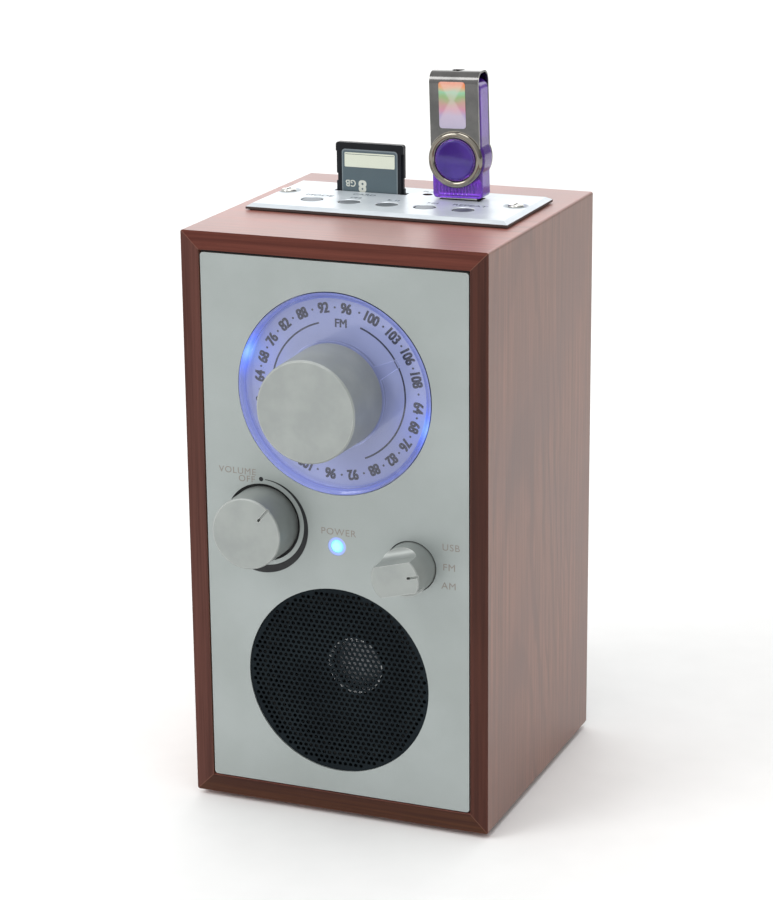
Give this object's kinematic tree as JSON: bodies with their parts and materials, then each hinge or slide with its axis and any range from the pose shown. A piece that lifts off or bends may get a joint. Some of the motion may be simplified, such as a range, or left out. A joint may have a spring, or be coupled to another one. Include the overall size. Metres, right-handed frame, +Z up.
{
  "type": "tabletop radio",
  "caption": "Upright wooden tabletop radio with a lit round tuning dial, volume and band knobs, round speaker grille, and card and USB sockets on top.",
  "frame": {"origin": "on the floor under the middle of the whole radio's box, on its left-right midline", "axes": "+Z up, +Y from the front panel towards the back, +X to the right as seen from the front"},
  "size_m": [0.103, 0.123, 0.2361],
  "materials": {
    "wood_veneer": "satin reddish brown veneer",
    "raw_wood": "unfinished",
    "front_metal": "satin grey-green",
    "black_plastic": "matte",
    "clear_acrylic": "clear, polished",
    "printed_scale": "printed, translucent",
    "white_plastic": "matte",
    "blue_lamp": "lit",
    "red_lamp": "diffused",
    "satin_knob": "satin",
    "steel": "plain",
    "screw_steel": "bright",
    "rubber": "matte",
    "grille_black": "matte black",
    "cone_paper": "matte",
    "dust_cap_metal": "satin",
    "magnet_iron": "plain",
    "circuit_board": "solder mask",
    "ferrite": "matte",
    "copper": "enamelled",
    "plate_metal": "satin with a polished bevel",
    "button_metal": "satin",
    "card_plastic": "matte",
    "violet_plastic": "translucent violet",
    "gunmetal": "gunmetal plating"
  },
  "bodies": {
    "cabinet": {"aerial_clips": "white_plastic", "aerial_coil": "copper", "aerial_rod": "ferrite", "aux_jack": "black_plastic", "baffle_screws": "screw_steel", "band_switch": "black_plastic", "board_bottom": "wood_veneer", "board_left": "wood_veneer", "board_right": "wood_veneer", "board_top": "wood_veneer", "button_switches": "black_plastic", "card_socket": "black_plastic", "control_nuts": "steel", "corner_blocks": "raw_wood", "dc_inlet": "black_plastic", "dial_cup": "white_plastic", "dial_leds": "blue_lamp", "dial_lens": "clear_acrylic", "dial_scale": "printed_scale", "feet": "rubber", "front_baffle": "black_plastic", "front_panel": "front_metal", "front_screws": "screw_steel", "main_board": "circuit_board", "media_board": "circuit_board", "media_frame": "black_plastic", "media_plate": "plate_metal", "media_screws": "screw_steel", "mode_lamp": "red_lamp", "power_lamp": "blue_lamp", "power_lamp_collar": "clear_acrylic", "rear_cover": "black_plastic", "rear_screws": "screw_steel", "speaker_basket": "grille_black", "speaker_gasket": "rubber", "speaker_grille": "grille_black", "speaker_magnet": "magnet_iron", "tuning_capacitor": "white_plastic", "usb_socket": "steel", "volume_control": "steel"},
    "tuning": {"tuning_knob": "satin_knob", "tuning_pointer": "clear_acrylic", "tuning_shaft": "steel"},
    "volume": {"volume_knob": "satin_knob", "volume_shaft": "steel"},
    "band": {"band_knob": "satin_knob", "band_shaft": "steel"},
    "cone": {"speaker_cone": "cone_paper", "speaker_surround": "rubber", "speaker_dust_cap": "dust_cap_metal", "voice_coil": "cone_paper"},
    "card": {"memory_card": "card_plastic"},
    "stick": {"stick_body": "violet_plastic", "stick_plug": "steel"},
    "swivel": {"stick_cover": "gunmetal"},
    "push_mode": {"button_mode": "button_metal"},
    "push_previous": {"button_previous": "button_metal"},
    "push_play": {"button_play": "button_metal"},
    "push_next": {"button_next": "button_metal"},
    "push_repeat": {"button_repeat": "button_metal"}
  },
  "joints": [
    {"name": "tuning_turn", "type": "hinge", "parent": "cabinet", "child": "tuning", "pos_m": [0, -0.0495, 0.1428], "axis": [0, 1, 0], "range_deg": [-151, 29]},
    {"name": "volume_turn", "type": "hinge", "parent": "cabinet", "child": "volume", "pos_m": [-0.0253, -0.0455, 0.0981], "axis": [0, 1, 0], "range_deg": [-42, 248]},
    {"name": "band_turn", "type": "hinge", "parent": "cabinet", "child": "band", "pos_m": [0.0256, -0.0455, 0.0892], "axis": [0, 1, 0], "range_deg": [-28, 28]},
    {"name": "press_mode", "type": "slide", "parent": "cabinet", "child": "push_mode", "axis": [0, 0, -1], "range_m": [0, 0.0005], "stiffness_N_per_m": 800},
    {"name": "press_previous", "type": "slide", "parent": "cabinet", "child": "push_previous", "axis": [0, 0, -1], "range_m": [0, 0.0005], "stiffness_N_per_m": 800},
    {"name": "press_play", "type": "slide", "parent": "cabinet", "child": "push_play", "axis": [0, 0, -1], "range_m": [0, 0.0005], "stiffness_N_per_m": 800},
    {"name": "press_next", "type": "slide", "parent": "cabinet", "child": "push_next", "axis": [0, 0, -1], "range_m": [0, 0.0005], "stiffness_N_per_m": 800},
    {"name": "press_repeat", "type": "slide", "parent": "cabinet", "child": "push_repeat", "axis": [0, 0, -1], "range_m": [0, 0.0005], "stiffness_N_per_m": 800},
    {"name": "cone_throw", "type": "slide", "parent": "cabinet", "child": "cone", "axis": [0, -1, 0], "range_m": [-0.0005, 0.0005], "stiffness_N_per_m": 1000},
    {"name": "card_pull", "type": "slide", "parent": "cabinet", "child": "card", "axis": [0, 0, 1], "range_m": [0, 0.0165]},
    {"name": "stick_pull", "type": "slide", "parent": "cabinet", "child": "stick", "axis": [-0.0262, 0, 0.9997], "range_m": [0, 0.0175]},
    {"name": "cover_swivel", "type": "hinge", "parent": "stick", "child": "swivel", "pos_m": [0.01795, 0.0258, 0.20749], "axis": [0, 1, 0], "range_deg": [-25, 100]}
  ]
}
